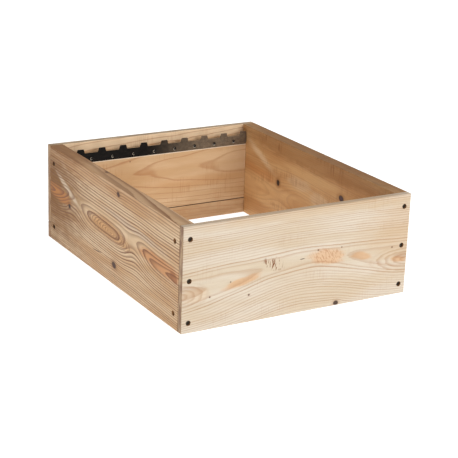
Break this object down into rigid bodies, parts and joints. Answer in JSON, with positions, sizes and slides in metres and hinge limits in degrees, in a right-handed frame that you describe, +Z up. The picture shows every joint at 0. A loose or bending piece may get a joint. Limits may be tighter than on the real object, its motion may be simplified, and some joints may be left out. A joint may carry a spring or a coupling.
{
  "type": "beehive super box",
  "caption": "Open, shallow wooden hive box with rebated corners, sunk screws and castellated steel frame spacers above its two inner ledges.",
  "frame": {"origin": "centre of the bottom rim, on the plane the box stands on", "axes": "+Z up, +Y along the side boards from the one-piece front end board to the two-stave rear end board, +X to the right seen from the front"},
  "size_m": [0.425, 0.51, 0.174],
  "materials": {
    "pale_pine": "planed, bare",
    "warm_pine": "planed, bare",
    "spacer_steel": "dulled sheet steel",
    "screw_steel": "dark phosphated",
    "nail_steel": "bright, slightly dulled"
  },
  "bodies": {
    "root": {"front_end_board": "pale_pine", "rear_end_board_upper_stave": "pale_pine", "rear_end_board_lower_stave": "pale_pine", "left_side_board": "warm_pine", "right_side_board": "warm_pine", "front_frame_spacer": "spacer_steel", "rear_frame_spacer": "spacer_steel", "front_end_screw_left_1": "screw_steel", "front_end_screw_left_2": "screw_steel", "front_end_screw_left_3": "screw_steel", "front_end_screw_right_1": "screw_steel", "front_end_screw_right_2": "screw_steel", "front_end_screw_right_3": "screw_steel", "rear_end_screw_left_1": "screw_steel", "rear_end_screw_left_2": "screw_steel", "rear_end_screw_left_3": "screw_steel", "rear_end_screw_right_1": "screw_steel", "rear_end_screw_right_2": "screw_steel", "rear_end_screw_right_3": "screw_steel", "left_side_screw_front_1": "screw_steel", "left_side_screw_front_2": "screw_steel", "left_side_screw_rear_1": "screw_steel", "left_side_screw_rear_2": "screw_steel", "right_side_screw_front_1": "screw_steel", "right_side_screw_front_2": "screw_steel", "right_side_screw_rear_1": "screw_steel", "right_side_screw_rear_2": "screw_steel", "front_spacer_nail_1": "nail_steel", "front_spacer_nail_2": "nail_steel", "front_spacer_nail_3": "nail_steel", "front_spacer_nail_4": "nail_steel", "front_spacer_nail_5": "nail_steel", "front_spacer_nail_6": "nail_steel", "front_spacer_nail_7": "nail_steel", "front_spacer_nail_8": "nail_steel", "rear_spacer_nail_1": "nail_steel", "rear_spacer_nail_2": "nail_steel", "rear_spacer_nail_3": "nail_steel", "rear_spacer_nail_4": "nail_steel", "rear_spacer_nail_5": "nail_steel", "rear_spacer_nail_6": "nail_steel", "rear_spacer_nail_7": "nail_steel", "rear_spacer_nail_8": "nail_steel"}
  },
  "joints": []
}
